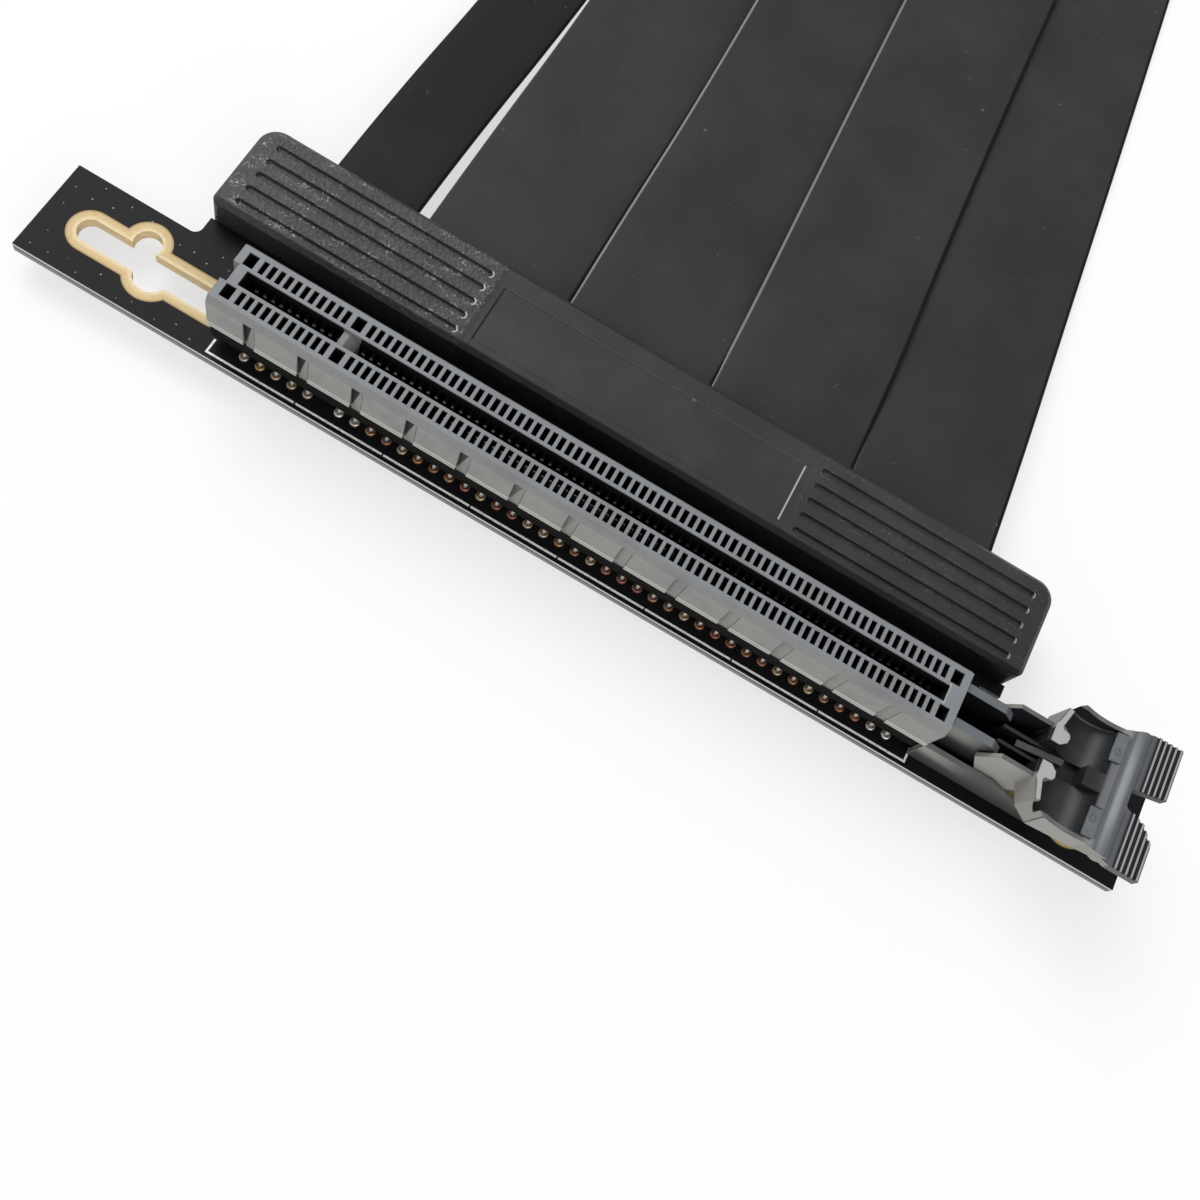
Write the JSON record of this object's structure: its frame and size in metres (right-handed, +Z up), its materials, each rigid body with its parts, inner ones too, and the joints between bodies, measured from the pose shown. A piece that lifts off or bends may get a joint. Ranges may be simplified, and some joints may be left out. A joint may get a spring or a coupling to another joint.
{
  "type": "pcie extension cable",
  "caption": "Flat x16 extension cable: card slot with pivoting card latch on a board, moulded covers, flat ribbons and a card-edge plug.",
  "frame": {"origin": "middle of the flat underside of the slot end's cover, which the part rests on", "axes": "+X along the card slot towards the latch, +Y from the slot towards the plug, +Z up out of the slot"},
  "size_m": [0.14, 0.257, 0.017],
  "materials": {
    "board": "black solder mask on glass-fibre board",
    "housing": "moulded grey engineering plastic",
    "latch": "moulded dark grey engineering plastic",
    "cover": "charcoal plastic with a fine spark-eroded grain",
    "ribbon_jacket": "smooth black flexible jacket",
    "contact_metal": "plated copper alloy",
    "finger_plating": "gold-coloured plating",
    "wire": "tinned copper"
  },
  "bodies": {
    "cable": {"slot_board": "board", "slot_housing": "housing", "slot_contacts_front": "contact_metal", "slot_contacts_rear": "contact_metal", "slot_upper_shell": "cover", "slot_lower_shell": "cover", "slot_wire_ends": "wire", "ribbon_1": "ribbon_jacket", "ribbon_2": "ribbon_jacket", "ribbon_3": "ribbon_jacket", "ribbon_4": "ribbon_jacket", "ribbon_5": "ribbon_jacket", "plug_upper_shell": "cover", "plug_lower_shell": "cover", "plug_board": "board", "plug_fingers_top": "finger_plating", "plug_fingers_bottom": "finger_plating", "plug_wire_ends": "wire"},
    "latch": {"card_latch": "latch"}
  },
  "joints": [
    {"name": "latch_pivot", "type": "hinge", "parent": "cable", "child": "latch", "pos_m": [0.05305, -0.0151, 0.0077], "axis": [0, 1, 0], "range_deg": [0, 25]}
  ]
}
